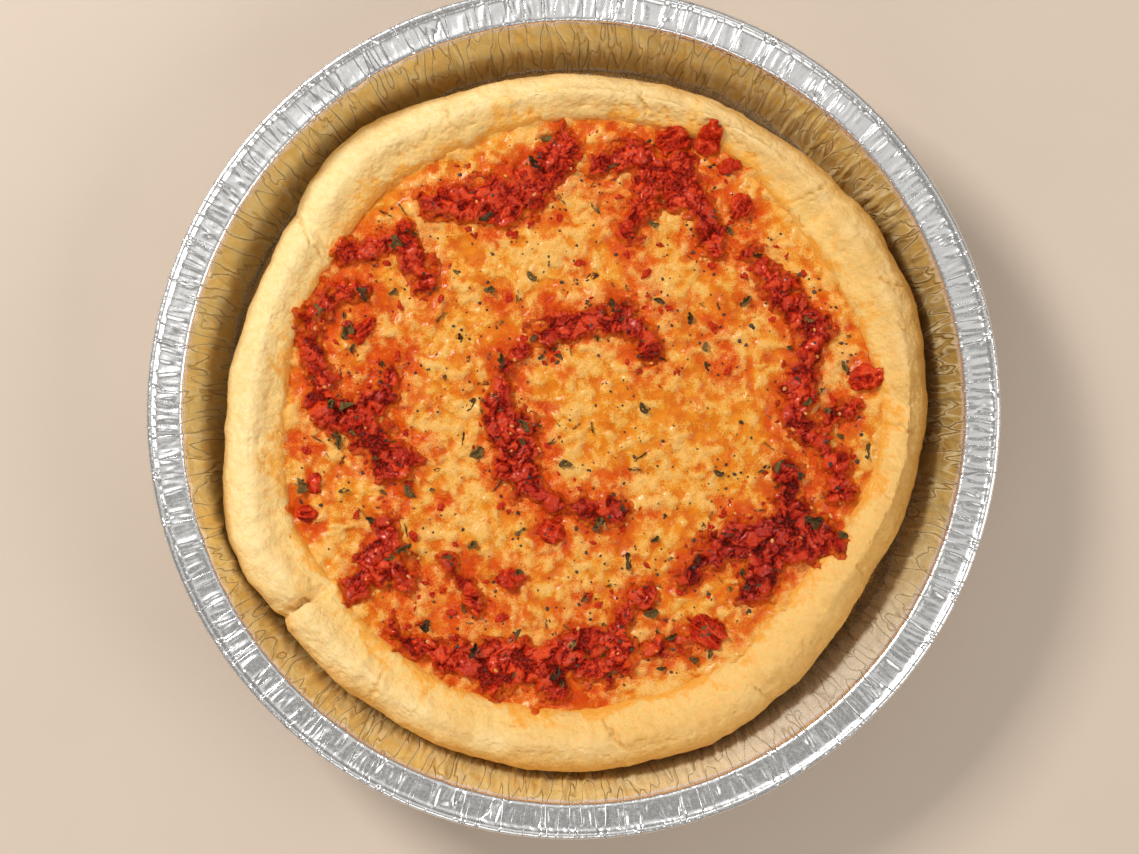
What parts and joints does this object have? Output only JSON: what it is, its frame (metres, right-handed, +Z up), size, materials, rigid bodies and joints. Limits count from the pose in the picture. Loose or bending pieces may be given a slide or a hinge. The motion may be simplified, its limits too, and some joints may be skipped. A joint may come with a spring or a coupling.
{
  "type": "deep dish pizza in a foil pan",
  "caption": "Deep dish pizza with a thick round crust, baked cheese and crushed tomato sauce, in its round foil pan.",
  "frame": {"origin": "middle of the pan's foot, on the surface it stands on", "axes": "+Z up out of the pan, +Y towards the top of the picture, +X to its right"},
  "size_m": [0.2349, 0.2347, 0.04],
  "materials": {
    "foil": "crinkled bright foil, gold lacquer inside the wall",
    "crust": "baked dough, dry and matte",
    "cheese": "baked cheese with glossy orange oil",
    "sauce": "crushed tomato, wet",
    "tomato": "soft cooked tomato, wet",
    "herb": "dried leaf, matte"
  },
  "bodies": {
    "root": {"foil_pan": "foil", "crust": "crust", "cheese": "cheese", "sauce_top_left": "sauce", "sauce_top": "sauce", "sauce_upper_left": "sauce", "sauce_left": "sauce", "sauce_lower_left": "sauce", "sauce_bottom": "sauce", "sauce_lower_right": "sauce", "sauce_right": "sauce", "sauce_centre": "sauce", "sauce_right_low": "sauce", "sauce_low_strip": "sauce", "tomato_top_a": "tomato", "tomato_top_b": "tomato", "tomato_upper_right": "tomato", "tomato_right": "tomato", "tomato_lower_right": "tomato", "tomato_left_low": "tomato", "tomato_left": "tomato", "tomato_left_inner": "tomato", "tomato_middle": "tomato", "tomato_middle_low": "tomato"}
  },
  "joints": []
}
